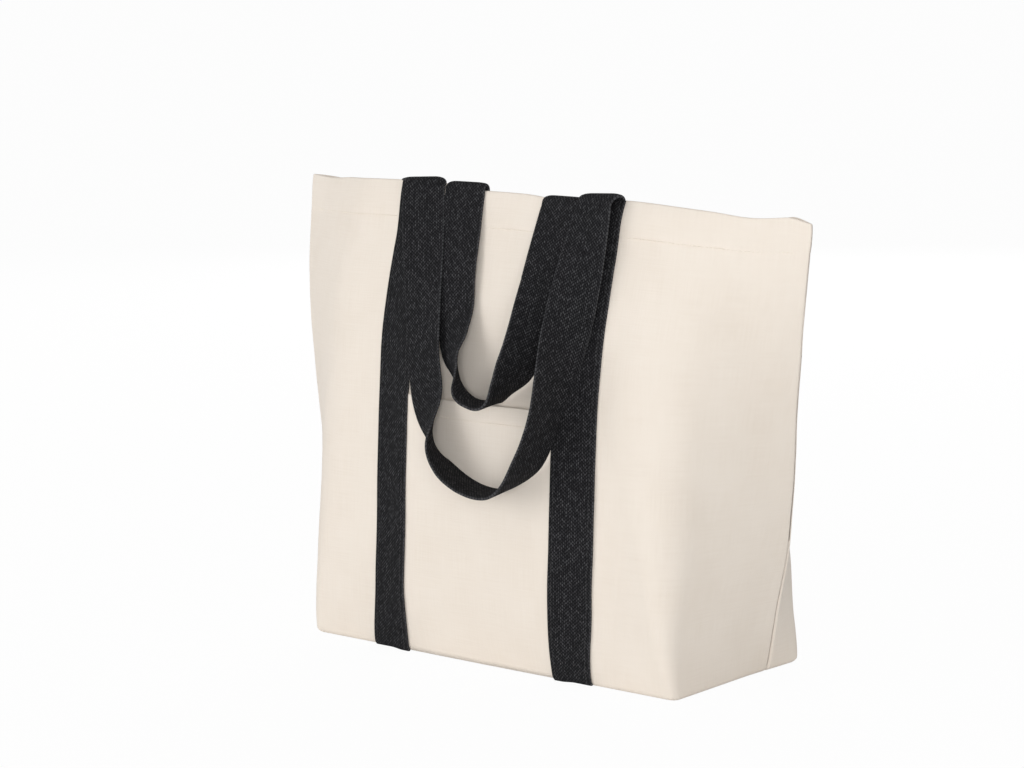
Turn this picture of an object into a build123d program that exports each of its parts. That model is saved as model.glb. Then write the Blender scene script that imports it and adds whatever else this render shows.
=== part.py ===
"""Canvas tote bag with webbing straps, hanging handles and a front pocket, in millimetres.

Origin at the middle of the base on the floor, X across the bag, front towards -Y, Z up.
"""

import os
from math import acos, cos, degrees, radians, sin, tan

from build123d import *

# Body of the bag
base_width = 381.0
base_depth = 152.4
height = 381.0
mouth_width = 526.0
front_mouth = 38.0
back_mouth = 10.0
front_belly = 21.0
back_belly = 16.0
top_flat_width = 300.0
base_corner_radius = 6.0
top_corner_radius = 150.0
corner_runs = 5
seam_shift = 39.0
canvas = 1.0
hem_depth = 32.0
hem_stitch_drop = 29.0
seam_allowance = 12.0
seam_ridge = 1.0

# Webbing straps and handles
webbing_width = 38.1
webbing_thick = 2.2
strap_spacing = 190.5
fold_radius = 3.0
ribbon_steps = 72

# Front pocket
pocket_height = 209.0
pocket_gape = 8.0
pocket_ease = 0.5
pocket_tuck = 6.0
pocket_slope = 15.0
pocket_stitch_drop = 14.0

# Sewing thread and the play left between sewn layers
thread_width = 0.8
thread_thick = 0.4
strap_stitch_inset = 3.5
seat = 0.2

# Hanging handles: how far each leg has drawn in towards the middle, at a drop, with a twist in degrees
front_drop = 231.0
front_legs = [
    (0.0, 0.0, 0.0),
    (5.0, 45.0, 0.0),
    (11.0, 90.0, 3.0),
    (18.0, 128.0, 10.0),
    (26.0, 165.0, 24.0),
    (36.0, 197.0, 48.0),
    (55.0, 219.0, 72.0),
]
back_drop = 168.0
back_legs = [
    (0.0, 0.0, 0.0),
    (2.5, 30.0, 0.0),
    (5.0, 62.0, 5.0),
    (8.5, 100.0, 15.0),
    (15.0, 132.0, 32.0),
    (26.5, 156.0, 62.0),
]
handle_gap = 8.6
handle_ease = 60.0

# Levels where the cross-section of the body is drawn
hem_level = height - hem_depth
stitch_level = height - hem_stitch_drop
wall_shares = (0, 0.02, 0.05, 0.09, 0.14, 0.2, 0.27, 0.34, 0.42, 0.5, 0.58, 0.66, 0.74, 0.83)
wall_levels = [height * share for share in wall_shares]
body_levels = wall_levels + [hem_level, stitch_level, height]

# Half the pocket between the straps, and the levels where it is drawn
pocket_half = strap_spacing / 2 - webbing_width / 2
pocket_stitch_level = pocket_height - pocket_stitch_drop
pocket_levels = [level for level in wall_levels if level < pocket_stitch_level]
pocket_levels += [pocket_stitch_level, pocket_height]

# Hinge lines of the handles, where the webbing bends over the mouth, and half the gap between their legs
front_axis_y = -(front_mouth + seat + webbing_thick + fold_radius)
back_axis_y = back_mouth + seat - fold_radius
front_spread = strap_spacing / 2
back_spread = front_spread - webbing_width - handle_gap
sides = {"left": -1, "right": 1}


def swell(level):
    """Share of the belly at a level: none at base and mouth, all of it at the fullest level."""
    power = 0.75
    fullest = power / (1 + power)
    rise = level / height
    return rise**power * (1 - rise) / (fullest**power * (1 - fullest))


def depth(face, level):
    """Distance from the middle plane to the outside of the front (-1) or back (1) face."""
    mouth = front_mouth if face < 0 else back_mouth
    belly = front_belly if face < 0 else back_belly
    rise = level / height
    return base_depth / 2 * (1 - rise) + mouth * rise + belly * swell(level)


def outline(level, inset=0.0):
    """Corners of the body's cross-section, drawn in from the outside by inset.

    The side seams run from the middle of the mouth's ends to the back on the right and the front on the left.
    """
    rise = level / height
    seam = (base_width / 2 + seam_ridge) * (1 - rise) + mouth_width / 2 * rise
    shift = seam_shift * (1 - rise**1.7)
    corner = (base_width + (top_flat_width - base_width) * rise) / 2
    front = depth(-1, level)
    back = depth(1, level)
    points = [
        Vector(-corner, -front),
        Vector(corner, -front),
        Vector(seam, shift),
        Vector(corner, back),
        Vector(-corner, back),
        Vector(-seam, -shift),
    ]
    inward = []
    for index, point in enumerate(points):
        run = (points[(index + 1) % len(points)] - point).normalized()
        inward.append(Vector(-run.Y, run.X))
    moved = []
    for index, point in enumerate(points):
        before = inward[index - 1]
        after = inward[index]
        moved.append(point + (before + after) * (inset / (1 + before.dot(after))))
    return moved


def rounded(before, point, after, radius):
    """Points round a corner of an outline that runs anticlockwise, in short straight runs."""
    back = (before - point).normalized()
    turn = 180 - degrees(acos(back.dot((after - point).normalized())))
    start = point + back * (radius * tan(radians(turn / 2)))
    spoke = Vector(-back.Y, back.X) * radius
    centre = start - spoke
    return [centre + spoke.rotate(Axis.Z, turn * step / corner_runs) for step in range(corner_runs + 1)]


def soft_outline(level, inset):
    """Points round the body's cross-section, with its four soft corners, and the places of the two seams in it."""
    spread = (level / height) ** 1.3
    radius = base_corner_radius + (top_corner_radius - base_corner_radius) * spread - inset
    corners = outline(level, inset)
    points = []
    seams = []
    for index, point in enumerate(corners):
        at_seam = index in (2, 5)
        if at_seam:
            seams.append(len(points))
            points.append(point)
        else:
            points += rounded(corners[index - 1], point, corners[(index + 1) % len(corners)], radius)
    return points, seams


def filled(points, level):
    """Flat face inside a closed line of points at a level."""
    with BuildSketch(Plane.XY.offset(level)) as drawn:
        with BuildLine():
            Polyline(*points, close=True)
        make_face()
    return drawn.sketch


def section(level, inset=0.0):
    """Cross-section of the whole body as a face."""
    points, seams = soft_outline(level, inset)
    return filled(points, level)


def half_section(level, face):
    """Cross-section of the front (-1) or back (1) half of the body, cut from seam to seam."""
    points, (right, left) = soft_outline(level, 0.0)
    half = points[right : left + 1] if face > 0 else points[left:] + points[: right + 1]
    half[0] += (half[1] - half[0]).normalized() * seat / 2
    half[-1] += (half[-2] - half[-1]).normalized() * seat / 2
    return filled(half, level)


def band(face, near, far, top, across):
    """Side view of a layer on the front or back face, from the floor up to a level, at one X."""
    levels = [level for level in body_levels if level < top] + [top]
    inner = [(face * (depth(face, level) + near), level) for level in levels]
    outer = [(face * (depth(face, level) + far), level) for level in levels]
    with BuildSketch(Plane.YZ.offset(across)) as drawn:
        with BuildLine():
            Polyline(*inner)
            Line(inner[-1], outer[-1])
            Polyline(*outer)
            Line(outer[0], inner[0])
        make_face()
    return drawn.sketch


def pocket_face(level):
    """Distance from the middle plane to the inside of the pocket, where it stands off the front."""
    gape = pocket_ease + (pocket_gape - pocket_ease) * (level / pocket_height) ** 1.5
    return depth(-1, level) + seat + gape


def pocket_section(level):
    """Level cut through the pocket, flat under the straps and standing off between them."""
    sewn = -(depth(-1, level) + seat)
    path = [
        (pocket_half + pocket_tuck, sewn),
        (pocket_half, sewn),
        (pocket_half - pocket_slope, -pocket_face(level)),
    ]
    path += [(-x, y) for x, y in reversed(path)]
    front = [(x, y - canvas) for x, y in reversed(path)]
    with BuildSketch(Plane.XY.offset(level)) as drawn:
        with BuildLine():
            Polyline(*path, *front, close=True)
        make_face()
    return drawn.sketch


def bend(axis_y, start, end, middle):
    """Side view of webbing bent about a hinge line, between two angles from +Y."""
    reach = fold_radius + webbing_thick
    with BuildSketch(Plane.YZ.offset(middle - webbing_width / 2)) as drawn:
        with BuildLine():
            centre = (axis_y, height)
            inner = CenterArc(centre, fold_radius, start, end - start)
            outer = CenterArc(centre, reach, start, end - start)
            Line(inner @ 0, outer @ 0)
            Line(inner @ 1, outer @ 1)
        make_face()
    return drawn.sketch


def interpolate(share, marks, values):
    """Value at a share of the way along, between the values at marked shares."""
    index = sum(mark <= share for mark in marks[1:-1])
    part = (share - marks[index]) / (marks[index + 1] - marks[index])
    return values[index] + part * (values[index + 1] - values[index])


def ribbon(spread, legs, drop):
    """Corners of a hanging handle, ring by ring, from the right leg round its loop to the left leg."""
    over_strap = seat + webbing_thick + 2 * fold_radius
    over_pocket = pocket_gape + canvas + thread_thick + 3 * seat
    route = [(spread - drawn_in, fall, twist) for drawn_in, fall, twist in legs] + [(0.0, drop, 90.0)]
    places = []
    turns = []
    for side, half in ((1, route), (-1, route[-2::-1])):
        for half_gap, fall, twist in half:
            level = height - fall
            ease = min(fall / handle_ease, 1)
            stand = over_strap + max(over_pocket - over_strap, 0) * ease + webbing_thick / 2
            out = depth(-1, level) + stand + webbing_width / 2 * sin(radians(twist))
            places.append(Vector(side * half_gap, -out, level))
            turns.append(90 + side * (twist - 90))
    path = Spline(*places, tangents=[(0, 0, -1), (0, 0, 1)], mode=Mode.PRIVATE)
    marks = [path.param_at_point(place) for place in places]
    rings = []
    for step in range(ribbon_steps + 1):
        share = step / ribbon_steps
        turn = radians(interpolate(share, marks, turns))
        across = Vector(cos(turn), sin(turn), 0)
        face = (path % share).cross(across).normalized() * webbing_thick / 2
        edge = face.cross(path % share).normalized() * webbing_width / 2
        middle = path @ share
        rings.append([middle - edge - face, middle + edge - face, middle + edge + face, middle - edge + face])
    return rings


def skinned(rings):
    """Solid through rings of corners, faced with flat triangles so that a twisted run stays light."""
    faces = [Face(Wire.make_polygon(rings[0])), Face(Wire.make_polygon(rings[-1]))]
    for near, far in zip(rings, rings[1:]):
        for corner in range(len(near)):
            beside = (corner + 1) % len(near)
            faces.append(Face(Wire.make_polygon([near[corner], near[beside], far[beside]])))
            faces.append(Face(Wire.make_polygon([near[corner], far[beside], far[corner]])))
    return Solid(Shell(faces))


def keep(piece, name):
    """Names a finished piece and writes it."""
    piece.part.label = name
    export_step(piece.part, f"parts/{name}.step")


os.makedirs("parts", exist_ok=True)

# Canvas walls: two lofted halves that meet at the side seams, hollowed out and thicker at the turned hem
wall_inside = [section(level, canvas) for level in wall_levels + [hem_level]]
hem_inside = [section(level, 2 * canvas) for level in (hem_level, stitch_level, height)]
for name, face in {"front_panel": -1, "back_panel": 1}.items():
    with BuildPart() as panel:
        loft([half_section(level, face) for level in body_levels], ruled=True)
        loft(wall_inside, ruled=True, mode=Mode.SUBTRACT)
        loft(hem_inside, ruled=True, mode=Mode.SUBTRACT)
    keep(panel, name)

with BuildPart() as base_panel:
    extrude(section(0, canvas + 1.5 * seat), amount=canvas)
keep(base_panel, "base_panel")

# Side seam allowances, turned to the inside and overlocked together
allowance_levels = [canvas + seat] + wall_levels[2:] + [hem_level - seat]
for name, corner in {"left": 5, "right": 2}.items():
    cuts = []
    for level in allowance_levels:
        corners = outline(level, canvas)
        tip = corners[corner]
        ahead = (corners[(corner + 1) % len(corners)] - tip).normalized()
        behind = (corners[corner - 1] - tip).normalized()
        inward = (ahead + behind).normalized()
        opening = acos(ahead.dot(behind)) / 2
        edge = tip + inward * (seat + (canvas + 2 * seat) / tan(opening))
        free = edge + inward * seam_allowance
        thick = Vector(-inward.Y, inward.X) * canvas
        cuts.append(filled([edge - thick, free - thick, free + thick, edge + thick], level))
    with BuildPart() as allowance:
        loft(cuts, ruled=True)
    keep(allowance, f"{name}_seam_allowance")

# Front pocket: a canvas patch that stands away from the front at its mouth
with BuildPart() as front_pocket:
    loft([pocket_section(level) for level in pocket_levels], ruled=True)
keep(front_pocket, "front_pocket")

with BuildPart() as pocket_stitching:
    out = pocket_face(pocket_stitch_level) + canvas + seat + thread_thick / 2
    with Locations((0, -out, pocket_stitch_level)):
        Box(2 * (pocket_half - pocket_slope), thread_thick, thread_width)
keep(pocket_stitching, "pocket_stitching")

# Straps sewn to the front and back, from the base up to the mouth, with two rows of stitching
for face_name, face in {"front": -1, "back": 1}.items():
    for name, side in sides.items():
        left_edge = side * strap_spacing / 2 - webbing_width / 2
        with BuildPart() as strap:
            extrude(band(face, seat, seat + webbing_thick, height, left_edge), amount=webbing_width)
            if face < 0:
                tuck = pocket_tuck + seat
                tuck_edge = pocket_half if side > 0 else -pocket_half - tuck
                recess = band(face, 0, canvas + 2 * seat, pocket_height + seat, tuck_edge)
                extrude(recess, amount=tuck, mode=Mode.SUBTRACT)
        keep(strap, f"{face_name}_{name}_strap")

        with BuildPart() as stitching:
            for row in (strap_stitch_inset, webbing_width - strap_stitch_inset - thread_width):
                near = webbing_thick + 1.5 * seat
                extrude(band(face, near, near + thread_thick, height, left_edge + row), amount=thread_width)
        keep(stitching, f"{face_name}_{name}_strap_stitching")

# Hem stitching round the mouth, which passes under the straps
right_seam = outline(stitch_level)[2].normalized()
seam_plane = Plane(origin=(0, 0, 0), x_dir=right_seam, z_dir=(right_seam.Y, -right_seam.X, 0))
for face_name, half in {"front": Keep.TOP, "back": Keep.BOTTOM}.items():
    with BuildPart() as hem_stitching:
        extrude(section(stitch_level, -seat - thread_thick), amount=thread_width)
        extrude(section(stitch_level, -seat), amount=thread_width, mode=Mode.SUBTRACT)
        split(bisect_by=seam_plane, keep=half)
        with Locations((-strap_spacing / 2, 0, stitch_level), (strap_spacing / 2, 0, stitch_level)):
            Box(webbing_width + 2 * seat, base_depth, 2 * webbing_width, mode=Mode.SUBTRACT)
    keep(hem_stitching, f"{face_name}_hem_stitching")

# Handles: a fold over the mouth at each end and one twisted loop hanging down the front
front_loop = skinned(ribbon(front_spread, front_legs, front_drop))
with BuildPart() as front_handle:
    add(front_loop)
keep(front_handle, "front_handle")

back_loop = skinned(ribbon(back_spread, back_legs, back_drop))
with BuildPart() as back_handle:
    add(back_loop)
keep(back_handle, "back_handle")

bridge_height = height + fold_radius + webbing_thick / 2
for name, side in sides.items():
    sewn_middle = side * front_spread
    crest_middle = side * back_spread

    with BuildPart() as front_fold:
        extrude(bend(front_axis_y, 0, 180, sewn_middle), amount=webbing_width)
    keep(front_fold, f"front_handle_{name}_fold")

    with BuildPart() as back_fold:
        extrude(bend(back_axis_y, 0, 90, sewn_middle), amount=webbing_width)
    keep(back_fold, f"back_handle_{name}_fold")

    with BuildPart() as bridge:
        for middle, axis_y in ((sewn_middle, back_axis_y), (crest_middle, front_axis_y)):
            with BuildSketch(Plane.XZ.offset(-axis_y)):
                with Locations((middle, bridge_height)):
                    Rectangle(webbing_width, webbing_thick)
        loft()
    keep(bridge, f"back_handle_{name}_bridge")

    with BuildPart() as crest:
        extrude(bend(front_axis_y, 90, 180, crest_middle), amount=webbing_width)
    keep(crest, f"back_handle_{name}_crest")
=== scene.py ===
"""Canvas tote bag with black webbing straps and hanging handles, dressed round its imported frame.

Shapes are worked out in millimetres in the frame's axes, and every mesh is made in metres.
"""

import math

import bpy
import numpy as np
from mathutils import Matrix, Vector, noise


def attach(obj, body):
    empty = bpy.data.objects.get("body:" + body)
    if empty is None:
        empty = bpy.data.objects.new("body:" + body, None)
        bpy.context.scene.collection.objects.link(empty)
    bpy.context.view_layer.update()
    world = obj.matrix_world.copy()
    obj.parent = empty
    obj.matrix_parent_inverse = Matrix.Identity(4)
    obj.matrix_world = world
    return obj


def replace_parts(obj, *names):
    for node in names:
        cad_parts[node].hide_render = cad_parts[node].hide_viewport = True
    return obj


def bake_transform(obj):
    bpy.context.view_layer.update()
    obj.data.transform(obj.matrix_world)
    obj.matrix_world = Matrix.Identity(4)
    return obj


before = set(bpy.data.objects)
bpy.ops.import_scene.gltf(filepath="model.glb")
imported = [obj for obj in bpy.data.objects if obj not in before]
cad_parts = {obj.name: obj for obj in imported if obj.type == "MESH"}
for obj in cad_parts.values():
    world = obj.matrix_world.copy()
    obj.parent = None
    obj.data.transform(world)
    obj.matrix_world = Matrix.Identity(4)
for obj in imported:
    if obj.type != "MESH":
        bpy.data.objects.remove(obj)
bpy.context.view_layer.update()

MM = 0.001

# Body of the bag
base_width = 381.0
base_depth = 152.4
height = 381.0
mouth_width = 526.0
front_mouth = 38.0
back_mouth = 10.0
front_belly = 21.0
back_belly = 16.0
belly_power = 0.75
top_flat_width = 300.0
base_corner_radius = 6.0
top_corner_radius = 150.0
seam_shift = 39.0
canvas = 1.0
hem_depth = 32.0
hem_stitch_drop = 29.0
seam_allowance = 12.0
foot_radius = 4.0
hem_fold_radius = 0.75

# Webbing straps and handles
webbing_width = 38.1
webbing_thick = 2.2
strap_spacing = 190.5
fold_radius = 3.0
seat = 0.2

# Front pocket
pocket_height = 214.0
pocket_gape = 3.5
pocket_tuck = 6.0
pocket_stitch_drop = 14.0
pocket_hem_depth = 17.0

# Sewing thread
thread_radius = 0.34
stitch_length = 2.7
stitch_pitch = 3.3
strap_stitch_inset = 3.9

stitch_level = height - hem_stitch_drop
hem_level = height - hem_depth
half_run = (base_width + base_depth) / 2
pocket_half = strap_spacing / 2 - webbing_width / 2
pocket_stitch_level = pocket_height - pocket_stitch_drop
bend_radius = fold_radius + webbing_thick / 2


def smoothstep(low, high, value):
    """Eased share of the way from low to high."""
    share = np.clip((np.asarray(value, float) - low) / (high - low), 0, 1)
    return share * share * (3 - 2 * share)


def swell(level):
    """Share of the belly at a level: none at base and mouth, all of it at the fullest level."""
    rise = np.clip(level / height, 0, 1)
    fullest = belly_power / (1 + belly_power)
    return rise**belly_power * (1 - rise) / (fullest**belly_power * (1 - fullest))


def depth(face, level):
    """Distance from the middle plane to the outside of the front (-1) or back (1) face."""
    mouth = front_mouth if face < 0 else back_mouth
    belly = front_belly if face < 0 else back_belly
    rise = level / height
    return base_depth / 2 * (1 - rise) + mouth * rise + belly * swell(level)


def seam_place(level):
    """Where the right seam runs at a level: across and towards the back. The left one mirrors both."""
    rise = np.clip(level / height, 0, 1)
    return base_width / 2 * (1 - rise) + mouth_width / 2 * rise, seam_shift * (1 - rise**1.7)


def flat_half(level):
    """Half the width of the flat front or back at a level, before its corners are rounded."""
    rise = np.clip(level / height, 0, 1)
    return (base_width + (top_flat_width - base_width) * rise) / 2


def half_wall(face, side, level, inset):
    """Plan of a wall from its middle round the corner to one seam: across, towards the back, run."""
    rise = np.clip(level / height, 0, 1)
    seam, shift = seam_place(level)
    out = depth(face, level) - inset
    corner = flat_half(level) - inset
    side_run = out - face * side * shift
    radius = base_corner_radius + (top_corner_radius - base_corner_radius) * rise**1.3
    turn = math.atan2(side_run, seam - inset - corner)
    start = corner - radius * math.tan(turn / 2)
    angles = np.linspace(0, turn, 25)
    across = np.concatenate([[0], start + radius * np.sin(angles), [seam - inset]])
    outward = np.concatenate([[out], out - radius + radius * np.cos(angles), [out - side_run]])
    run = np.concatenate([[0], np.cumsum(np.hypot(np.diff(across), np.diff(outward)))])
    return side * across, face * outward, run


def wall(face, level, inset, shares):
    """Plan of one wall at shares, -1 to 1, of the way from seam to seam: across, towards the back, run."""
    plan = np.zeros((3, len(shares)))
    for side in (-1, 1):
        across, back, run = half_wall(face, side, level, inset)
        chosen = shares * side >= 0
        wanted = np.abs(shares[chosen]) * run[-1]
        plan[:, chosen] = np.interp(wanted, run, across), np.interp(wanted, run, back), side * wanted
    return plan


# Without a set seed the offsets of the ripples change from run to run
ripple_seed = 7
noise.seed_set(ripple_seed)


def ripple(points, size, seed):
    """Smooth random offsets at points, each from -1 to 1, about size millimetres from hump to hump."""
    shift = Vector((seed * 17.3, seed * 5.1, seed * 9.7))
    return np.array([noise.noise_vector(Vector(point) / size + shift) for point in points])


sides = {"left": -1, "right": 1}
face_signs = {"front": -1, "back": 1}

# Lean of each sewn strap away from its straight place, at even steps from its foot to the mouth
strap_lean = {
    (-1, "left"): (-5.0, 2.4, 2.0, 1.6, 1.5),
    (-1, "right"): (-4.2, -0.8, 0.7, 0.7, 4.8),
    (1, "left"): (0.0, 0.0, 0.0, 0.0, 0.0),
    (1, "right"): (0.0, 0.0, 0.0, 0.0, 0.0),
}


def strap_middle(face, side_name, level):
    """Where the middle of a sewn strap runs across the bag at a level."""
    leans = strap_lean[face, side_name]
    curve = np.polyfit(np.linspace(0, 1, len(leans)), leans, len(leans) - 1)
    return sides[side_name] * strap_spacing / 2 + np.polyval(curve, np.asarray(level) / height)


# Plan of the front: it lies back outside the straps, turns with each and falls away on its right
front_inset = 4.0
strap_step = {"left": 8.5, "right": -7.5}
strap_fall = {"left": 2.5, "right": 2.0}
fall_reach = 15.0
turn_reach = 10
front_left_span = (-205, -120)
front_right_span = (125, 205)
front_foot_span = (4, 60)
front_mouth_span = (335, 375)
mouth_flattening = 0.8


def front_plan(x, level):
    """How far the front stands out of its straight plan at a place, which is most beside the straps."""
    half = webbing_width / 2
    out = -front_inset
    for side_name in sides:
        beside = x - strap_middle(-1, side_name, level)
        falling = 1 - np.exp(-np.maximum(beside - half, 0) / fall_reach)
        turned = strap_step[side_name] * smoothstep(-half - turn_reach, half + turn_reach, beside)
        out = out + turned - strap_fall[side_name] * falling
    out = out * smoothstep(*front_left_span, x) * (1 - smoothstep(*front_right_span, x))
    flattened = 1 - mouth_flattening * smoothstep(*front_mouth_span, level)
    return out * smoothstep(*front_foot_span, level) * flattened


# How the cloth has relaxed: droop of the mouth's corners, dip of its back edge and loose ripples
right_droop = 11.5
left_droop = 5.0
left_draw_in = 12.0
right_spread = 3.0
corner_drop = 6.5
back_dip = 14.0
front_sag = 4.5
handle_dip = 3.5
handle_dip_x = 56.0
handle_dip_reach = 24
corner_push = 6.0
sideways_push = 0.6
right_bulge = 5.5
upper_sway = 2.8
upper_sway_level = 265
upper_sway_reach = 75
lower_sway = 1.3
lower_sway_level = 95
lower_sway_reach = 45
wave_height = 2.2
wave_size = 150.0
crease_height = 0.8
crease_size = 48.0
upright_wave_share = 0.15

# Where each kind of settling begins and is complete
side_span = (110, 268)
behind_span = (-25, 8)
dip_span = (150, 262)
sag_left_span = (-75, -35)
sag_right_span = (205, 262)
in_front_span = (-15, -34)
bulge_span = (140, 240)
corner_span = (240, 266)
loose_span = (2, 70)
push_across_span = (60, 185)
push_back_span = (15, 75)
push_level_span = (60, 220)


def pushed_out(x, y, z):
    """How far the back right corner of the base has been pushed out."""
    placed = corner_push * smoothstep(*push_across_span, x) * smoothstep(*push_back_span, y)
    return placed * (1 - smoothstep(*push_level_span, z))


def swayed(z):
    """How far the whole bag leans to the left above its middle, and to the right below it."""
    lower = lower_sway * np.exp(-(((z - lower_sway_level) / lower_sway_reach) ** 2))
    return lower - upper_sway * np.exp(-(((z - upper_sway_level) / upper_sway_reach) ** 2))


def settle(points):
    """Places on the sewn bag after the cloth has relaxed."""
    points = np.asarray(points, float)
    flat = points.reshape(-1, 3)
    x, y, z = flat.T.copy()
    rise = np.clip(z / height, 0, 1.02)
    right = smoothstep(*side_span, x)
    left = smoothstep(*side_span, -x)
    behind = smoothstep(*behind_span, y)
    middle = 1 - smoothstep(*dip_span, np.abs(x))
    sagging = smoothstep(*sag_left_span, x) * (1 - smoothstep(*sag_right_span, x)) * rise**4
    dropped = rise**2.5 * (right_droop * right + left_droop * left) + back_dip * behind * middle * rise**6
    under_handle = np.exp(-(((x - handle_dip_x) / handle_dip_reach) ** 2))
    dropped += front_sag * sagging + handle_dip * under_handle * rise**8
    in_front = smoothstep(*in_front_span, y)
    push = pushed_out(x, y, z)
    y = y - front_plan(x, z) * in_front + push
    x = x + sideways_push * push + right_bulge * smoothstep(*bulge_span, x) * swell(z) + swayed(z)
    loose = smoothstep(*loose_span, z)[:, None]
    dropped += corner_drop * smoothstep(*corner_span, x) * rise**8
    moved = np.stack([x + (left_draw_in * left + right_spread * right) * rise**3, y, z - dropped], 1)
    waves = wave_height * ripple(flat, wave_size, 1) + crease_height * ripple(flat, crease_size, 2)
    waves[:, 2] *= upright_wave_share
    return (moved + loose * waves).reshape(points.shape)


def new_object(name, points, faces, corner_uvs, material):
    """Object from points in millimetres, faces and one cloth coordinate in metres for each face corner."""
    mesh = bpy.data.meshes.new(name)
    mesh.from_pydata((np.asarray(points, float) * MM).tolist(), [], faces)
    layer = mesh.uv_layers.new(name="cloth")
    layer.data.foreach_set("uv", np.asarray(corner_uvs, np.float32).ravel())
    mesh.polygons.foreach_set("use_smooth", np.ones(len(mesh.polygons), bool))
    mesh.materials.append(material)
    mesh.update()
    made = bpy.data.objects.new(name, mesh)
    bpy.context.scene.collection.objects.link(made)
    return made


def cloth_sheet(name, points, lengths, material):
    """Sheet of canvas through rows of points, with cloth lengths in millimetres, thickened both ways."""
    rows, columns = points.shape[:2]
    index = np.arange(rows * columns).reshape(rows, columns)
    quads = np.stack([index[:-1, :-1], index[:-1, 1:], index[1:, 1:], index[1:, :-1]], -1).reshape(-1, 4)
    uvs = (lengths.reshape(-1, 2) * MM)[quads.ravel()]
    made = new_object(name, points.reshape(-1, 3), quads.tolist(), uvs, material)
    thick = made.modifiers.new("thickness", "SOLIDIFY")
    thick.thickness = canvas * MM
    thick.offset = 0
    return made


def webbing_profile():
    """Outline of the webbing's cross-section: across the width, out of the face, with rounded edges."""
    half = webbing_width / 2
    round_edge = webbing_thick / 2
    flat = np.linspace(-half + round_edge, half - round_edge, 17)
    angles = np.radians(np.linspace(75, -75, 5))
    right = np.stack([half - round_edge + round_edge * np.cos(angles), round_edge * np.sin(angles)], 1)
    top = np.stack([flat, np.full(len(flat), round_edge)], 1)
    return np.concatenate([top, right, -top, -right])


def webbing(name, middles, across, outward, material, lift):
    """Strip of webbing along a line of middles, given its width and face directions and its lift there."""
    profile = webbing_profile()
    count = len(profile)
    offsets = np.repeat(profile[None, :, 1], len(middles), 0)
    offsets = offsets + lift(profile[:, 0])
    spread = across[:, None] * profile[None, :, :1]
    points = middles[:, None] + spread + outward[:, None] * offsets[..., None]
    run = np.concatenate([[0], np.cumsum(np.linalg.norm(np.diff(middles, axis=0), axis=1))])
    index = np.arange(len(middles) * count).reshape(len(middles), count)
    following = np.roll(index, -1, axis=1)
    quads = np.stack([index[:-1], following[:-1], following[1:], index[1:]], -1).reshape(-1, 4)
    lengths = np.stack([np.tile(profile[:, 0], len(middles)), np.repeat(run, count)], 1) * MM
    faces = quads.tolist() + [index[0, ::-1].tolist(), index[-1].tolist()]
    corners = np.concatenate([quads.ravel(), index[0, ::-1], index[-1]])
    return new_object(name, points.reshape(-1, 3), faces, lengths[corners], material)


def stitches(name, rows, material):
    """Separate stitches along rows, each a line of points and the directions out of the cloth there."""
    rings = np.linspace(-1, 1, 7)
    turns = np.radians(np.arange(0, 360, 60))
    points, faces = [], []
    for line, outward in rows:
        run = np.concatenate([[0], np.cumsum(np.linalg.norm(np.diff(line, axis=0), axis=1))])
        for mark in np.arange(stitch_pitch, run[-1] - stitch_pitch / 2, stitch_pitch):
            middle, before, after, out = (
                np.array([np.interp(place, run, values[:, axis]) for axis in range(3)])
                for place, values in ((mark, line), (mark - 1, line), (mark + 1, line), (mark, outward))
            )
            along = (after - before) / np.linalg.norm(after - before)
            side = np.cross(along, out)
            first = len(points)
            for ring in rings:
                girth = thread_radius * math.sqrt(max(1.05 - ring * ring, 0))
                risen = out * thread_radius * (0.7 - 1.5 * ring**4)
                centre = middle + along * ring * stitch_length / 2 + risen
                for turn in turns:
                    points.append(centre + girth * (math.cos(turn) * side + math.sin(turn) * out))
            for ring in range(len(rings) - 1):
                for turn in range(len(turns)):
                    beside = (turn + 1) % len(turns)
                    here = first + ring * len(turns)
                    there = here + len(turns)
                    faces.append([here + turn, here + beside, there + beside, there + turn])
            last = first + (len(rings) - 1) * len(turns)
            faces.append([first + turn for turn in range(len(turns))][::-1])
            faces.append([last + turn for turn in range(len(turns))])
    corner_count = sum(len(face) for face in faces)
    return new_object(name, points, faces, np.zeros((corner_count, 2)), material)


def material_tree(name):
    """New material with its node tree and its surface shader."""
    material = bpy.data.materials.new(name)
    material.use_nodes = True
    tree = material.node_tree
    return material, tree, tree.nodes["Principled BSDF"]


def calculate(tree, operation, *values):
    """Math node on sockets and numbers; gives its result."""
    made = tree.nodes.new("ShaderNodeMath")
    made.operation = operation
    for socket, value in zip(made.inputs, values):
        if isinstance(value, (int, float)):
            socket.default_value = value
        else:
            tree.links.new(value, socket)
    return made.outputs[0]


def cloth_place(tree):
    """Cloth coordinates in metres: across, along."""
    place = tree.nodes.new("ShaderNodeUVMap")
    place.uv_map = "cloth"
    parts = tree.nodes.new("ShaderNodeSeparateXYZ")
    tree.links.new(place.outputs["UV"], parts.inputs[0])
    return parts.outputs[0], parts.outputs[1]


def noise_at(tree, across, along, detail=2.0):
    """Noise on cloth coordinates that are already scaled; gives its value, 0 to 1."""
    place = tree.nodes.new("ShaderNodeCombineXYZ")
    tree.links.new(across, place.inputs[0])
    tree.links.new(along, place.inputs[1])
    made = tree.nodes.new("ShaderNodeTexNoise")
    made.inputs["Scale"].default_value = 1.0
    made.inputs["Detail"].default_value = detail
    tree.links.new(place.outputs[0], made.inputs["Vector"])
    return made.outputs["Fac"]


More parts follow.
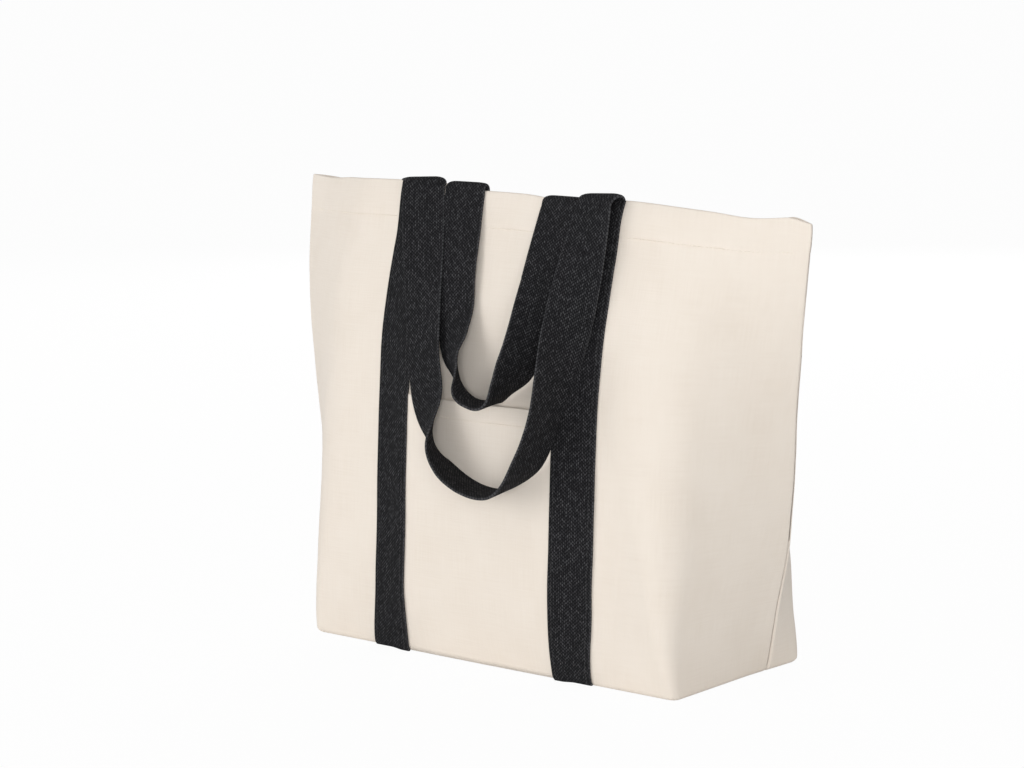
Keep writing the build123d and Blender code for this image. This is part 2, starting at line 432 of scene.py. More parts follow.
def ramp(tree, value, stops):
    """Colour ramp over a value, from (position, colour) stops."""
    made = tree.nodes.new("ShaderNodeValToRGB")
    elements = made.color_ramp.elements
    while len(elements) < len(stops):
        elements.new(0.5)
    for element, (position, colour) in zip(elements, stops):
        element.position = position
        element.color = (*colour, 1)
    tree.links.new(value, made.inputs["Fac"])
    return made.outputs["Color"]


def relief(tree, shader, value, distance, strength):
    """Bump from a value, its full range standing a distance in metres."""
    made = tree.nodes.new("ShaderNodeBump")
    made.inputs["Distance"].default_value = distance
    made.inputs["Strength"].default_value = strength
    tree.links.new(value, made.inputs["Height"])
    tree.links.new(made.outputs["Normal"], shader.inputs["Normal"])


def canvas_material():
    """Undyed plain-weave canvas: raised yarns, slubs along both yarns and a faint mottle."""
    material, tree, shader = material_tree("natural_canvas")
    across, along = cloth_place(tree)
    yarn = 0.00082
    warp = calculate(tree, "SINE", calculate(tree, "MULTIPLY", across, math.pi / yarn))
    weft = calculate(tree, "SINE", calculate(tree, "MULTIPLY", along, math.pi / yarn))
    weave = calculate(tree, "MULTIPLY", warp, weft)

    def stretched(over, down, detail=2.0):
        across_scaled = calculate(tree, "MULTIPLY", across, over)
        return noise_at(tree, across_scaled, calculate(tree, "MULTIPLY", along, down), detail)

    warp_slub = stretched(1100.0, 30.0)
    weft_slub = stretched(30.0, 1100.0)
    fuzz = stretched(2600.0, 2600.0)
    mottle = stretched(22.0, 16.0, 4.0)
    slub = calculate(tree, "ADD", warp_slub, weft_slub)
    grain = calculate(tree, "MULTIPLY_ADD", weave, 0.16, slub)
    surface = calculate(tree, "MULTIPLY_ADD", fuzz, 0.35, grain)
    tone = calculate(tree, "MULTIPLY_ADD", grain, 0.3, calculate(tree, "MULTIPLY", mottle, 0.42))
    stops = [(0.3, (0.800, 0.716, 0.622)), (0.52, (0.842, 0.764, 0.676)), (0.75, (0.872, 0.800, 0.716))]
    tree.links.new(ramp(tree, tone, stops), shader.inputs["Base Color"])
    tree.links.new(calculate(tree, "MULTIPLY_ADD", fuzz, 0.15, 0.82), shader.inputs["Roughness"])
    shader.inputs["Specular IOR Level"].default_value = 0.2
    shader.inputs["Sheen Weight"].default_value = 0.12
    shader.inputs["Sheen Roughness"].default_value = 0.6
    relief(tree, shader, surface, 0.00010, 0.5)
    return material


def webbing_material():
    """Black cotton webbing: staggered seed-shaped yarn humps in slanted bands, with paler flecks and a
    painted highlight along both edges.
    """
    material, tree, shader = material_tree("black_webbing")
    across, along = cloth_place(tree)
    seed_width = 0.0015
    seed_length = 0.0028
    # Painted highlight: the colour is lighter in a narrow band along both edges of the webbing, where its
    # rounded edges would catch the light.
    edge_highlight_width = 0.0016
    edge_highlight_ease = 0.001
    edge_highlight_tone = 260.0
    column_place = calculate(tree, "DIVIDE", across, seed_width)
    column = calculate(tree, "FLOOR", column_place)
    stagger = calculate(tree, "MULTIPLY", calculate(tree, "PINGPONG", column, 1.0), 0.5)
    row_place = calculate(tree, "ADD", calculate(tree, "DIVIDE", along, seed_length), stagger)
    row = calculate(tree, "FLOOR", row_place)
    beside = calculate(tree, "SUBTRACT", calculate(tree, "FRACT", column_place), 0.5)
    above = calculate(tree, "SUBTRACT", calculate(tree, "FRACT", row_place), 0.5)
    leaning = calculate(tree, "SIGN", calculate(tree, "SINE", calculate(tree, "MULTIPLY", across, 830.0)))
    slant = calculate(tree, "MULTIPLY", calculate(tree, "MULTIPLY", above, leaning), 0.2)
    off_side = calculate(tree, "MULTIPLY", calculate(tree, "ADD", beside, slant), 1.9)
    off_end = calculate(tree, "MULTIPLY", above, 1.9)
    side_square = calculate(tree, "POWER", off_side, 2.0)
    end_square = calculate(tree, "POWER", off_end, 2.0)
    away = calculate(tree, "ADD", side_square, end_square)
    hump = calculate(tree, "MAXIMUM", calculate(tree, "SUBTRACT", 1.0, away), 0.0)

    cell = tree.nodes.new("ShaderNodeCombineXYZ")
    tree.links.new(column, cell.inputs[0])
    tree.links.new(row, cell.inputs[1])
    fleck = tree.nodes.new("ShaderNodeTexWhiteNoise")
    fleck.noise_dimensions = "2D"
    tree.links.new(cell.outputs[0], fleck.inputs["Vector"])
    fuzz = noise_at(
        tree,
        calculate(tree, "MULTIPLY", across, 2600.0),
        calculate(tree, "MULTIPLY", along, 2600.0),
    )
    streak = noise_at(
        tree,
        calculate(tree, "MULTIPLY", across, 420.0),
        calculate(tree, "MULTIPLY", along, 190.0),
    )
    fleck_square = calculate(tree, "POWER", fleck.outputs["Value"], 2.0)
    bright = calculate(tree, "MULTIPLY_ADD", fleck_square, 0.6, 0.3)
    bright = calculate(tree, "MULTIPLY", calculate(tree, "MULTIPLY_ADD", fuzz, 0.4, bright), streak)
    # Painted highlight along both edges: the tone rises across the outer band of each edge and is added to
    # the seed tone.
    edge_highlight_start = webbing_width / 2 * MM - edge_highlight_width
    edge_highlight = calculate(tree, "SUBTRACT", calculate(tree, "ABSOLUTE", across), edge_highlight_start)
    edge_highlight = calculate(tree, "MINIMUM", calculate(tree, "MAXIMUM", edge_highlight, 0.0), edge_highlight_ease)
    tone = calculate(tree, "MULTIPLY", calculate(tree, "MULTIPLY", hump, bright), 1.9)
    tone = calculate(tree, "MULTIPLY_ADD", edge_highlight, edge_highlight_tone, tone)
    stops = [
        (0.0, (0.0074, 0.0074, 0.0081)),
        (0.35, (0.0220, 0.0220, 0.0238)),
        (0.9, (0.070, 0.070, 0.074)),
    ]
    tree.links.new(ramp(tree, tone, stops), shader.inputs["Base Color"])
    tree.links.new(calculate(tree, "MULTIPLY_ADD", fuzz, 0.2, 0.78), shader.inputs["Roughness"])
    shader.inputs["Specular IOR Level"].default_value = 0.04
    relief(tree, shader, calculate(tree, "MULTIPLY_ADD", fuzz, 0.25, hump), 0.0004, 0.8)
    return material


def thread_material(name, dark, light):
    """Sewing thread: twisted ply marks between two tones."""
    material, tree, shader = material_tree(name)
    place = tree.nodes.new("ShaderNodeTexCoord")
    grain = tree.nodes.new("ShaderNodeTexNoise")
    grain.inputs["Scale"].default_value = 2400.0
    tree.links.new(place.outputs["Object"], grain.inputs["Vector"])
    marks = grain.outputs["Fac"]
    tree.links.new(ramp(tree, marks, [(0.3, dark), (0.7, light)]), shader.inputs["Base Color"])
    tree.links.new(calculate(tree, "MULTIPLY_ADD", marks, 0.2, 0.6), shader.inputs["Roughness"])
    relief(tree, shader, marks, 0.0001, 0.5)
    return material


cloth = canvas_material()
black_web = webbing_material()
pale_thread = thread_material("natural_thread", (0.80, 0.71, 0.61), (0.90, 0.83, 0.74))
black_thread = thread_material("black_thread", (0.008, 0.008, 0.009), (0.03, 0.03, 0.032))


# Small relief of the panels: puffed hem, cloth pulled in by stitches, pinched side seams
hem_puff = 0.35
stitch_pull = 0.15
stitch_pull_reach = 1.5
seam_pinch = 1.6
seam_stand = 0.5
pinch_reach = 1.3
strap_margin = 6
pocket_pull = 0.3
pucker_stretch = [1, 1, 0.25]
pucker_size = 9.0
pucker_reach = 7


def puckers(flat, level, seed):
    """Small puckers of the cloth along a row of stitches at a level."""
    near_row = np.exp(-(((flat[:, 2] - level) / pucker_reach) ** 2))
    return ripple(flat * pucker_stretch, pucker_size, seed)[:, 1] * near_row


def panel_rows():
    """Rows of a wall panel from its foot to its hem's free edge: level and inset of the cloth's middle."""
    middle = canvas / 2
    rows = []
    for angle in np.radians(np.linspace(0, 90, 7)):
        foot_level = middle + foot_radius * (1 - math.cos(angle))
        rows.append((foot_level, middle + foot_radius * (1 - math.sin(angle))))
    near_stitch = np.arange(stitch_level - 6, stitch_level + 6.1, 1.0)
    for level in np.concatenate([np.arange(8, stitch_level - 7, 4.5), near_stitch]):
        rows.append((level, middle))
    fold_level = height - middle - hem_fold_radius
    for level in np.linspace(stitch_level + 8, fold_level, 10):
        rows.append((level, middle))
    for angle in np.radians(np.linspace(20, 180, 9)):
        inset = middle + hem_fold_radius * (1 - math.cos(angle))
        rows.append((fold_level + hem_fold_radius * math.sin(angle), inset))
    inner = middle + 2 * hem_fold_radius
    turned_down = np.linspace(fold_level - 2, stitch_level + 4, 9)
    for level in np.concatenate([turned_down, np.arange(3, -3.1, -1) + stitch_level]):
        rows.append((level, inner))
    return np.array(rows)


def canvas_panel(name, face):
    """Front or back panel with its foot, its pinched side seams and its turned hem."""
    rows = panel_rows()
    inner_shares = np.linspace(-1, 1, 225)[2:-2]
    edge_shares = 1 - np.array([0.0, 0.5, 1.0, 1.7, 2.5, 3.6]) / half_run
    shares = np.concatenate([-edge_shares, inner_shares, edge_shares[::-1]])
    from_seam = (1 - np.abs(shares)) * half_run
    along = np.concatenate([[0], np.cumsum(np.hypot(np.diff(rows[:, 0]), np.diff(rows[:, 1])))])
    points = np.zeros((len(rows), len(shares), 3))
    lengths = np.zeros((len(rows), len(shares), 2))
    for number, (level, inset) in enumerate(rows):
        outer = number < np.argmax(rows[:, 0])
        in_hem = smoothstep(stitch_level, stitch_level + 9, level)
        in_hem = in_hem * (1 - smoothstep(height - 8, height, level))
        pulled = math.exp(-(((level - stitch_level) / stitch_pull_reach) ** 2))
        puffed = (hem_puff * in_hem - stitch_pull * pulled) * (1 if outer else -1)
        x, y, run = wall(face, level, inset - puffed, shares)
        points[number, :, 0] = x - np.sign(shares) * seam_pinch * np.exp(-((from_seam / pinch_reach) ** 2))
        points[number, :, 1] = y + face * seam_stand * np.exp(-((from_seam / pinch_reach) ** 2))
        points[number, :, 2] = level
        lengths[number, :, 0] = run
        lengths[number, :, 1] = along[number]
    flat = points.reshape(-1, 3)
    bumps = 0.22 * ripple(flat, 17.0, 3)[:, 1] + 0.32 * puckers(flat, stitch_level, 4)
    from_strap = np.abs(np.abs(flat[:, 0]) - strap_spacing / 2)
    under_strap = smoothstep(webbing_width / 2 + strap_margin, webbing_width / 2, from_strap)
    flat = settle(flat)
    flat[:, 1] += bumps * (1 - under_strap) * smoothstep(0, 20, flat[:, 2])
    made = cloth_sheet(name, flat.reshape(points.shape), lengths, cloth)
    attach(made, "bag")
    return made


def base_sheet():
    """Bottom of the bag, a rounded rectangle of canvas that lifts a little off the floor in places."""
    inset = canvas / 2 + foot_radius + 0.3
    half_wide = base_width / 2 - inset
    half_deep = base_depth / 2 - inset
    radius = base_corner_radius - canvas
    down = np.linspace(-1, 1, 61)
    over = np.linspace(-1, 1, 141)
    y = half_deep * np.sin(down * math.pi / 2)
    into_corner = np.clip(np.abs(y) - (half_deep - radius), 0, radius)
    reach = half_wide - radius + np.sqrt(radius**2 - into_corner**2)
    x = reach[:, None] * over[None, :]
    points = np.stack([x, np.broadcast_to(y[:, None], x.shape), np.zeros_like(x)], -1)
    flat = points.reshape(-1, 3)
    edge = np.minimum(half_wide - np.abs(flat[:, 0]), half_deep - np.abs(flat[:, 1]))
    lifted = 0.5 + 0.5 * ripple(flat, 60.0, 6)[:, 2]
    push = pushed_out(*flat.T)
    flat[:, 2] = canvas / 2 + 1.6 * lifted * smoothstep(1, 30, edge)
    flat[:, 0] += sideways_push * push
    flat[:, 1] += push
    made = cloth_sheet("base_canvas", flat.reshape(points.shape), points[..., :2].copy(), cloth)
    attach(made, "bag")
    return made


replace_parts(base_sheet(), "base_panel")
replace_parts(canvas_panel("front_canvas", -1), "front_panel")
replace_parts(canvas_panel("back_canvas", 1), "back_panel")


def allowance(name, side):
    """Two seam edges overlocked together, turned to the inside of the bag."""
    levels = np.linspace(3, hem_level - 2, 90)
    steps = np.linspace(0, 1, 8)
    seam, shift = seam_place(levels)
    tip = np.stack([side * seam, side * shift], 1)
    corner = side * flat_half(levels)
    inward = np.zeros_like(tip)
    for face in (-1, 1):
        towards = np.stack([corner, face * depth(face, levels)], 1) - tip
        inward += towards / np.linalg.norm(towards, axis=1)[:, None]
    inward /= np.linalg.norm(inward, axis=1)[:, None]
    aside = np.stack([-inward[:, 1], inward[:, 0]], 1)
    points = np.zeros((len(levels), len(steps), 3))
    points[..., 2] = levels[:, None]
    points[..., :2] = tip[:, None] + inward[:, None] * (3.1 + steps * seam_allowance)[None, :, None]
    sway = 1.5 + 3.0 * ripple(points[:, -1], 40.0, 8)[:, 0]
    points[..., :2] += aside[:, None] * (sway[:, None] * steps**2)[..., None]
    lengths = np.stack(np.broadcast_arrays(steps[None, :] * seam_allowance, levels[:, None]), -1)
    made = cloth_sheet(name, settle(points), lengths, cloth)
    made.modifiers["thickness"].thickness = 2 * canvas * MM
    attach(made, "bag")
    return made


for side_name, side in sides.items():
    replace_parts(allowance(f"{side_name}_seam_edges", side), f"{side_name}_seam_allowance")


def pocket_stand(x, level):
    """How far the pocket stands off the front panel."""
    spread = np.clip(np.abs(x) / (pocket_half - 1), 0, 1)
    rise = np.clip(level / pocket_height, 0, 1)
    return 0.25 + (0.4 + pocket_gape * rise**2) * (1 - spread**2.6)


def pocket_sheet():
    """Patch pocket with a turned top hem, standing a little open between the straps."""
    middle = canvas / 2
    rows = [(level, middle) for level in np.arange(1.5, pocket_stitch_level - 5, 4.5)]
    rows += [(level, middle) for level in np.arange(-5, 5.1, 1) + pocket_stitch_level]
    fold_level = pocket_height - middle - hem_fold_radius
    rows += [(level, middle) for level in np.linspace(pocket_height - 8, fold_level, 5)]
    for angle in np.radians(np.linspace(20, 180, 9)):
        inset = middle + hem_fold_radius * (1 - math.cos(angle))
        rows.append((fold_level + hem_fold_radius * math.sin(angle), inset))
    inner = middle + 2 * hem_fold_radius
    rows += [(level, inner) for level in np.linspace(fold_level - 2, pocket_height - pocket_hem_depth, 8)]
    rows = np.array(rows)
    along = np.concatenate([[0], np.cumsum(np.hypot(np.diff(rows[:, 0]), np.diff(rows[:, 1])))])
    x = np.linspace(-pocket_half - pocket_tuck, pocket_half + pocket_tuck, 97)
    points = np.zeros((len(rows), len(x), 3))
    for number, (level, inset) in enumerate(rows):
        stand = pocket_stand(x, level)
        free = np.clip(stand / 3, 0, 1)
        outer = number < np.argmax(rows[:, 0])
        near_row = math.exp(-(((level - pocket_stitch_level) / stitch_pull_reach) ** 2))
        pulled = pocket_pull * near_row if outer else 0
        points[number, :, 0] = x
        outside = depth(-1, level) + stand + canvas - middle
        points[number, :, 1] = -(outside - (inset - middle) * free - pulled)
        points[number, :, 2] = level
    lengths = np.stack(np.broadcast_arrays(x[None, :], along[:, None]), -1)
    flat = points.reshape(-1, 3)
    open_part = smoothstep(pocket_half - 2, pocket_half - 16, np.abs(flat[:, 0]))
    bumps = (0.25 * ripple(flat, 21.0, 7)[:, 1] + 0.3 * puckers(flat, pocket_stitch_level, 5)) * open_part
    flat = settle(flat)
    flat[:, 1] += bumps
    made = cloth_sheet("pocket_canvas", flat.reshape(points.shape), lengths, cloth)
    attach(made, "bag")
    return made


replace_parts(pocket_sheet(), "front_pocket")


# Where the foot of a sewn strap ends round the base, in degrees up from the floor
foot_turn = 52


def strap_line(face, side_name, out):
    """Line up a sewn strap at a distance out from the canvas, with its directions across and out."""
    turn = np.radians(np.linspace(foot_turn, 90, 5))
    foot_levels = canvas + foot_radius * (1 - np.cos(turn))
    foot_inset = foot_radius * (1 - np.sin(turn))
    levels = np.concatenate([foot_levels, np.arange(8, height - 2, 3.0), [height]])
    inset = np.concatenate([foot_inset, np.zeros(len(levels) - len(turn))])
    x = strap_middle(face, side_name, levels)
    line = np.stack([x, face * (depth(face, levels) - inset), levels], 1)
    slope = np.gradient(line, axis=0)
    across = np.tile([-float(face), 0.0, 0.0], (len(line), 1))
    outward = np.cross(across, slope)
    outward[:, 0] = 0
    outward /= np.linalg.norm(outward, axis=1)[:, None]
    return settle(line + outward * out), across, outward, levels


def sewn_strap(face_name, face, side_name):
    """Strap sewn up one face, riding over the pocket's edge where it covers it."""
    line, across, outward, levels = strap_line(face, side_name, seat + webbing_thick / 2)

    def lift(across_place):
        raised = np.zeros((len(levels), len(across_place)))
        if face < 0:
            inner = smoothstep(-2, 12, -sides[side_name] * across_place)
            covers = smoothstep(pocket_height + 5, pocket_height - 3, levels)
            middle = strap_middle(face, side_name, levels)[:, None]
            raised += covers[:, None] * inner[None, :] * (canvas + 0.15)
            column = levels[:, None]
            raised += front_plan(middle + across_place[None, :], column) - front_plan(middle, column)
        return raised

    made = webbing(f"{face_name}_{side_name}_webbing", line, across, outward, black_web, lift)
    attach(made, "bag")
    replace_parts(made, f"{face_name}_{side_name}_strap")

    rows = []
    for edge in (-1, 1):
        offset = edge * (webbing_width / 2 - strap_stitch_inset)
        raised = lift(np.array([offset]))[:, 0] + webbing_thick / 2
        rows.append((line + across * offset + outward * raised[:, None], outward))
    thread = stitches(f"{face_name}_{side_name}_webbing_stitches", rows, black_thread)
    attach(thread, "bag")
    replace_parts(thread, f"{face_name}_{side_name}_strap_stitching")


for face_name, face in face_signs.items():
    for side_name in sides:
        sewn_strap(face_name, face, side_name)


def hem_rows(face):
    """Lines of the hem's stitching between the seams and the straps on one face."""
    shares = np.linspace(-1, 1, 400)
    x, y, run = wall(face, stitch_level, -0.05, shares)
    line = np.stack([x, y, np.full(len(x), stitch_level)], 1)
    slope = np.gradient(line, axis=0)
    outward = np.cross(slope, [0, 0, 1]) * -face
    outward /= np.linalg.norm(outward, axis=1)[:, None]
    line = settle(line - 0.2 * outward)
    rows = []
    lefts = strap_middle(face, "left", stitch_level)
    rights = strap_middle(face, "right", stitch_level)
    clear = webbing_width / 2 + 0.5
    from_seam = (1 - np.abs(shares)) * half_run
    for low, high in ((-400, lefts - clear), (lefts + clear, rights - clear), (rights + clear, 400)):
        chosen = (x > low) & (x < high) & (from_seam > 5)
        rows.append((line[chosen], outward[chosen]))
    return rows


for face_name, face in face_signs.items():
    thread = stitches(f"{face_name}_hem_stitches", hem_rows(face), pale_thread)
    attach(thread, "bag")
    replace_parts(thread, f"{face_name}_hem_stitching")

pocket_x = np.linspace(-pocket_half + 2, pocket_half - 2, 120)
pocket_row = np.stack(
    [
        pocket_x,
        -(depth(-1, pocket_stitch_level) + pocket_stand(pocket_x, pocket_stitch_level) + canvas - 0.25),
        np.full(len(pocket_x), pocket_stitch_level),
    ],
    1,
)
pocket_out = np.tile([0.0, -1.0, 0.0], (len(pocket_x), 1))
pocket_thread = stitches("pocket_stitches", [(settle(pocket_row), pocket_out)], pale_thread)
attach(pocket_thread, "bag")
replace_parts(pocket_thread, "pocket_stitching")

# Hanging handles: how each leg runs from its loop's lowest place up to its crest
leg_steps = 10
lean_curve = 0.6


def hanging_leg(lowest, corner, crest, lean, belly, middle_turn, low_twist, high_twist):
    """Places up one leg from a loop's lowest place to its crest: across, level, turn in degrees."""
    low_x, low_level, low_turn = lowest
    crest_x, crest_level, crest_turn = crest
    up = np.linspace(0, 1, leg_steps) ** 2
    out = np.sqrt(1 - (1 - up) ** corner) * (1 - lean * (1 - up) ** lean_curve)
    out = out + belly * np.sin(np.pi * up) ** 2
    turn = low_turn + (middle_turn - low_turn) * smoothstep(*low_twist, up)
    turn = turn + (crest_turn - middle_turn) * smoothstep(*high_twist, up)
    return np.stack([low_x + (crest_x - low_x) * out, low_level + (crest_level - low_level) * up, turn], 1)


def hanging_route(lowest, corner, left, right):
    """A hanging handle from its left crest round the loop to its right crest."""
    left_leg = hanging_leg(lowest, corner, **left)
    right_leg = hanging_leg(lowest, corner, **right)
    return np.concatenate([left_leg[::-1], right_leg[1:]])


front_route = hanging_route(
    lowest=(30, 149, -72),
    corner=5.5,
    left={
        "crest": (-80.5, 376, 15),
        "lean": 0.3,
        "belly": 0.0,
        "middle_turn": -9,
        "low_twist": (0.03, 0.33),
        "high_twist": (0.4, 1),
    },
    right={
        "crest": (95, 372, -188),
        "lean": 0.16,
        "belly": 0.04,
        "middle_turn": -95,
        "low_twist": (0, 0.1),
        "high_twist": (0.25, 1),
    },
)
back_route = hanging_route(
    lowest=(23, 217, -75),
    corner=5,
    left={
        "crest": (-42.5, 375, 6),
        "lean": 0.2,
        "belly": 0.0,
        "middle_turn": -42,
        "low_twist": (0, 0.08),
        "high_twist": (0.1, 0.5),
    },
    right={
        "crest": (57, 371, -182),
        "lean": 0.2,
        "belly": 0.28,
        "middle_turn": -110,
        "low_twist": (0, 0.2),
        "high_twist": (0.15, 1),
    },
)
front_stand = (9.5, 10.0)
back_stand = (1.9, 6.5)
hang_ease = 75.0
edge_clear = 1.12
lean_span = (360, 330)
square_span = (365, 330)
crest_span = (360, 372)
crest_droop = 1.5
droop_power = 7
strip_spacing = 1.5

# Crests of the handles, and the two places where each run of the back handle lies in the mouth
front_rise = {"left": 5.0, "right": 6.0}
front_left_moved_by = 125
front_tilt = 1.0
back_rise = {"left": 5.0, "right": 2.8}
behind_hem = -34.0
bridge_low = {"share": 0.55, "y": -15.0, "drop": 9.0}
bridge_near = {"share": 0.92, "y": -28.0, "drop": 8.0}
bridge_sag = 1.5
sag_share = 0.45


def smooth_run(places, values, spacing):
    """Even points along a smooth curve through places, with values carried along it."""
    places = np.asarray(places, float)
    values = np.asarray(values, float).reshape(len(places), -1)
    joined = np.concatenate([places, values], 1)
    gaps = np.sqrt(np.linalg.norm(np.diff(places, axis=0), axis=1))
    knots = np.concatenate([[0], np.cumsum(gaps)])
    slopes = np.gradient(joined, knots, axis=0)
    dense = []
    for number in range(len(places) - 1):
        span = knots[number + 1] - knots[number]
        t = np.linspace(0, 1, 60, endpoint=number == len(places) - 2)[:, None]
        dense.append(
            (2 * t**3 - 3 * t**2 + 1) * joined[number]
            + (t**3 - 2 * t**2 + t) * span * slopes[number]
            + (3 * t**2 - 2 * t**3) * joined[number + 1]
            + (t**3 - t**2) * span * slopes[number + 1]
        )
    dense = np.concatenate(dense)
    run = np.concatenate([[0], np.cumsum(np.linalg.norm(np.diff(dense[:, :3], axis=0), axis=1))])
    marks = np.linspace(0, run[-1], int(run[-1] / spacing) + 1)
    even = np.stack([np.interp(marks, run, column) for column in dense.T], 1)
    return even[:, :3], even[:, 3:]


def hanging_places(route, stand):
    """Middles of a hanging handle, close together below its two ends, each with its turn."""
    at_mouth, below = stand
    places = []
    for x, level, turn in route:
        off = at_mouth + (below - at_mouth) * smoothstep(0, hang_ease, height - level)
        lean = math.sin(math.radians(turn)) * smoothstep(*lean_span, level)
        out = front_plan(x, level) + np.hypot(off, edge_clear * webbing_width / 2 * lean)
        places.append(np.array([x, -(depth(-1, level) + out), level, turn]))
    for end, beside in ((0, 1), (len(places) - 1, -2)):
        near = [places[end] + (places[beside] - places[end]) * share for share in (0.12, 0.3)]
        places = places[:1] + near + places[1:] if end == 0 else places[:-1] + near[::-1] + places[-1:]
    return places


def bent(start, finish, rise, first, last, moved_by=180):
    """Places round a part of a half turn, each with its turn; by moved_by it is done moving sideways."""
    places = []
    for angle in np.radians(np.linspace(first, last, 2 + int((last - first) / 15))):
        share = (1 - math.cos(angle)) / 2
        place = start + (finish - start) * share
        moved = smoothstep(0, moved_by, math.degrees(angle))
        place[[0, 3]] = (start + (finish - start) * moved)[[0, 3]]
        place[2] += rise * math.sin(angle)
        places.append(place)
    return places


def strip(name, places, tilt=0.0):
    """Webbing strip along places, its width turned about the vertical from +X, its crests tilted."""
    places = np.array(places)
    middles, turned = smooth_run(places[:, :3], places[:, 3], strip_spacing)
    along = np.gradient(middles, axis=0)
    along /= np.linalg.norm(along, axis=1)[:, None]
    angle = np.radians(turned[:, 0])
    across = np.stack([np.cos(angle), np.sin(angle), np.zeros(len(angle))], 1)
    squared = smoothstep(*square_span, middles[:, 2])[:, None]
    across -= squared * along * np.sum(across * along, axis=1)[:, None]
    across /= np.linalg.norm(across, axis=1)[:, None]
    outward = np.cross(across, along)
    outward /= np.linalg.norm(outward, axis=1)[:, None]
    level_run = np.hypot(along[:, 0], along[:, 1]) * smoothstep(*crest_span, middles[:, 2])

    def lift(across_place):
        share = across_place[None, :] / webbing_width * 2
        raised = tilt * np.sign(across[:, :1]) * share - crest_droop * np.abs(share) ** droop_power
        return np.sign(outward[:, 2:]) * level_run[:, None] ** 2 * raised

    return webbing(name, middles, across, outward, black_web, lift)


mouth_y = {-1: -(front_mouth + seat + webbing_thick / 2), 1: back_mouth + seat + webbing_thick / 2}


def strap_top(face, side_name):
    """Where a sewn strap's middle reaches the mouth, once the cloth has relaxed."""
    return settle([[float(strap_middle(face, side_name, height)), mouth_y[face], height]])[0]


def front_handle():
    """Front handle: one strip from the left strap over its fold, round the loop to the right strap."""
    hang = hanging_places(front_route, front_stand)
    left_top = np.append(strap_top(-1, "left"), 0.0)
    right_top = np.append(strap_top(-1, "right"), -180.0)
    left_bend = bent(left_top, hang[0], front_rise["left"], 0, 180, front_left_moved_by)
    right_bend = bent(right_top, hang[-1], front_rise["right"], 0, 180)
    made = strip("front_handle_webbing", left_bend[:-1] + hang + right_bend[-2::-1], front_tilt)
    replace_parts(made, "front_handle", "front_handle_left_fold", "front_handle_right_fold")
    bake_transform(made)


def back_handle():
    """Back handle: a strip from each back strap down into the mouth, and one loop over the front hem."""
    hang = hanging_places(back_route, back_stand)
    loops = {}
    for side_name, leg in (("left", hang[0]), ("right", hang[-1])):
        facing = 0.0 if side_name == "left" else -180.0
        top = np.append(strap_top(1, side_name), facing)
        up = bent(top, top + np.array([0, -2 * bend_radius, 0, 0]), bend_radius, 0, 90)
        hem_top = settle([[leg[0], -front_mouth + 1, height]])[0][2]
        drop_in = leg[0] - up[-1][0]
        low, near = (
            np.array([up[-1][0] + place["share"] * drop_in, place["y"], hem_top - place["drop"], facing])
            for place in (bridge_low, bridge_near)
        )
        behind = np.array([leg[0], behind_hem, hem_top - 1.0, facing])
        over = bent(behind, leg, hem_top + back_rise[side_name] - (behind[2] + leg[2]) / 2, 0, 180)
        sagged = up[-1] + (low - up[-1]) * sag_share - np.array([0, 0, bridge_sag, 0])
        part = up + [sagged, low]
        loops[side_name] = [low, near] + over[:-1]
        made = strip(f"back_handle_{side_name}_webbing", part if side_name == "left" else part[::-1])
        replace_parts(made, f"back_handle_{side_name}_fold", f"back_handle_{side_name}_bridge")
        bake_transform(made)
    made = strip("back_handle_webbing", loops["left"] + hang + loops["right"][::-1])
    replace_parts(made, "back_handle", "back_handle_left_crest", "back_handle_right_crest")
    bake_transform(made)


front_handle()
back_handle()


# Shares of white: what the floor shows to the camera by itself, and the surround's light on the bag
floor_glow = 0.96
surround = 0.44
lamp_aim = Vector((0, 0, 0.19))


def seen_directly(tree):
    """One for rays from the camera, straight or by way of gloss or glass, and nothing for the rest."""
    path = tree.nodes.new("ShaderNodeLightPath")
    seen = calculate(tree, "MAXIMUM", path.outputs["Is Camera Ray"], path.outputs["Is Glossy Ray"])
    return calculate(tree, "MAXIMUM", seen, path.outputs["Is Transmission Ray"])


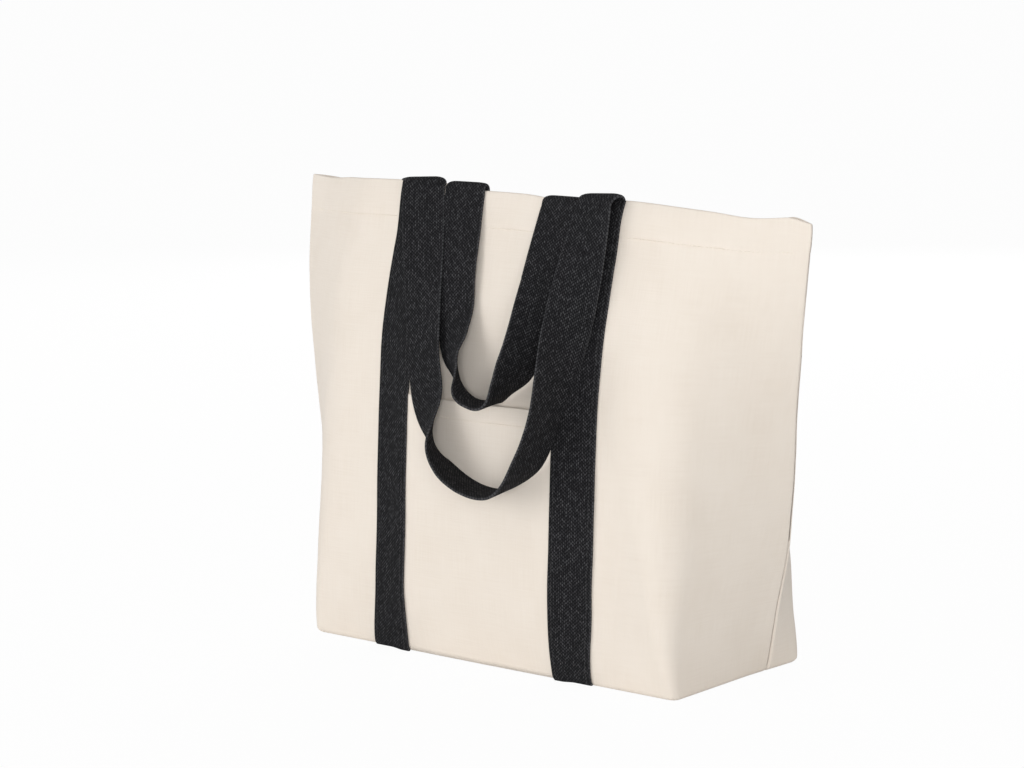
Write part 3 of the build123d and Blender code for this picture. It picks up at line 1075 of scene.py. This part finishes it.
def floor_and_world():
    """Pale floor, white to the camera apart from the bag's soft shadow, under an even surround."""
    half = 12.0
    mesh = bpy.data.meshes.new("floor")
    corners = [(-half, -half, 0), (half, -half, 0), (half, half, 0), (-half, half, 0)]
    mesh.from_pydata(corners, [], [(0, 1, 2, 3)])
    floor = bpy.data.objects.new("floor", mesh)
    bpy.context.scene.collection.objects.link(floor)
    material, tree, shader = material_tree("floor_paint")
    shader.inputs["Base Color"].default_value = (0.92, 0.92, 0.92, 1)
    shader.inputs["Roughness"].default_value = 0.9
    glow = tree.nodes.new("ShaderNodeEmission")
    seen = seen_directly(tree)
    mixed = tree.nodes.new("ShaderNodeMixShader")
    tree.links.new(calculate(tree, "MULTIPLY", seen, floor_glow), mixed.inputs[0])
    tree.links.new(shader.outputs[0], mixed.inputs[1])
    tree.links.new(glow.outputs[0], mixed.inputs[2])
    tree.links.new(mixed.outputs[0], tree.nodes["Material Output"].inputs["Surface"])
    mesh.materials.append(material)

    world = bpy.data.worlds.new("surround")
    world.use_nodes = True
    tree = world.node_tree
    seen = seen_directly(tree)
    background = tree.nodes["Background"]
    strength = calculate(tree, "MULTIPLY_ADD", seen, 1 - surround, surround)
    tree.links.new(strength, background.inputs["Strength"])
    background.inputs["Color"].default_value = (1, 1, 1, 1)
    bpy.context.scene.world = world


def soft_lamp(name, place, power, size):
    """Square area lamp aimed at the middle of the bag."""
    lamp = bpy.data.lights.new(name, "AREA")
    lamp.energy = power
    lamp.size = size
    made = bpy.data.objects.new(name, lamp)
    made.location = place
    made.rotation_euler = (lamp_aim - Vector(place)).to_track_quat("-Z", "Y").to_euler()
    bpy.context.scene.collection.objects.link(made)


def camera():
    """Camera at the photograph's viewing angle and framing, for an image 1024 by 768."""
    image_width = 1024
    sensor = 36.0
    focal = 3094.0
    yaw, pitch, roll = (math.radians(angle) for angle in (39.94, 10.3, -0.98))
    distance = 2.505
    aim = Vector((0, 0, 0.18))
    shift_right, shift_down = 32.0, 46.5
    back = Vector((math.sin(yaw) * math.cos(pitch), -math.cos(yaw) * math.cos(pitch), math.sin(pitch)))
    level_right = Vector((math.cos(yaw), math.sin(yaw), 0))
    level_up = back.cross(level_right)
    right = math.cos(roll) * level_right + math.sin(roll) * level_up
    up = -math.sin(roll) * level_right + math.cos(roll) * level_up
    view = bpy.data.cameras.new("camera")
    view.sensor_width = sensor
    view.lens = sensor * focal / image_width
    view.shift_x = -shift_right / image_width
    view.shift_y = shift_down / image_width
    view.clip_end = 100.0
    made = bpy.data.objects.new("camera", view)
    turned = Matrix((right, up, back)).transposed().to_4x4()
    made.matrix_world = Matrix.Translation(aim + back * distance) @ turned
    bpy.context.scene.collection.objects.link(made)
    bpy.context.scene.camera = made


floor_and_world()
soft_lamp("key", (-1.3, -2.3, 0.8), 20.5, 1.5)
soft_lamp("fill", (1.6, -1.95, 0.6), 22.5, 1.0)
soft_lamp("back", (-1.3, 2.0, 1.0), 22.0, 1.5)
camera()
bpy.context.scene.view_settings.view_transform = "Standard"
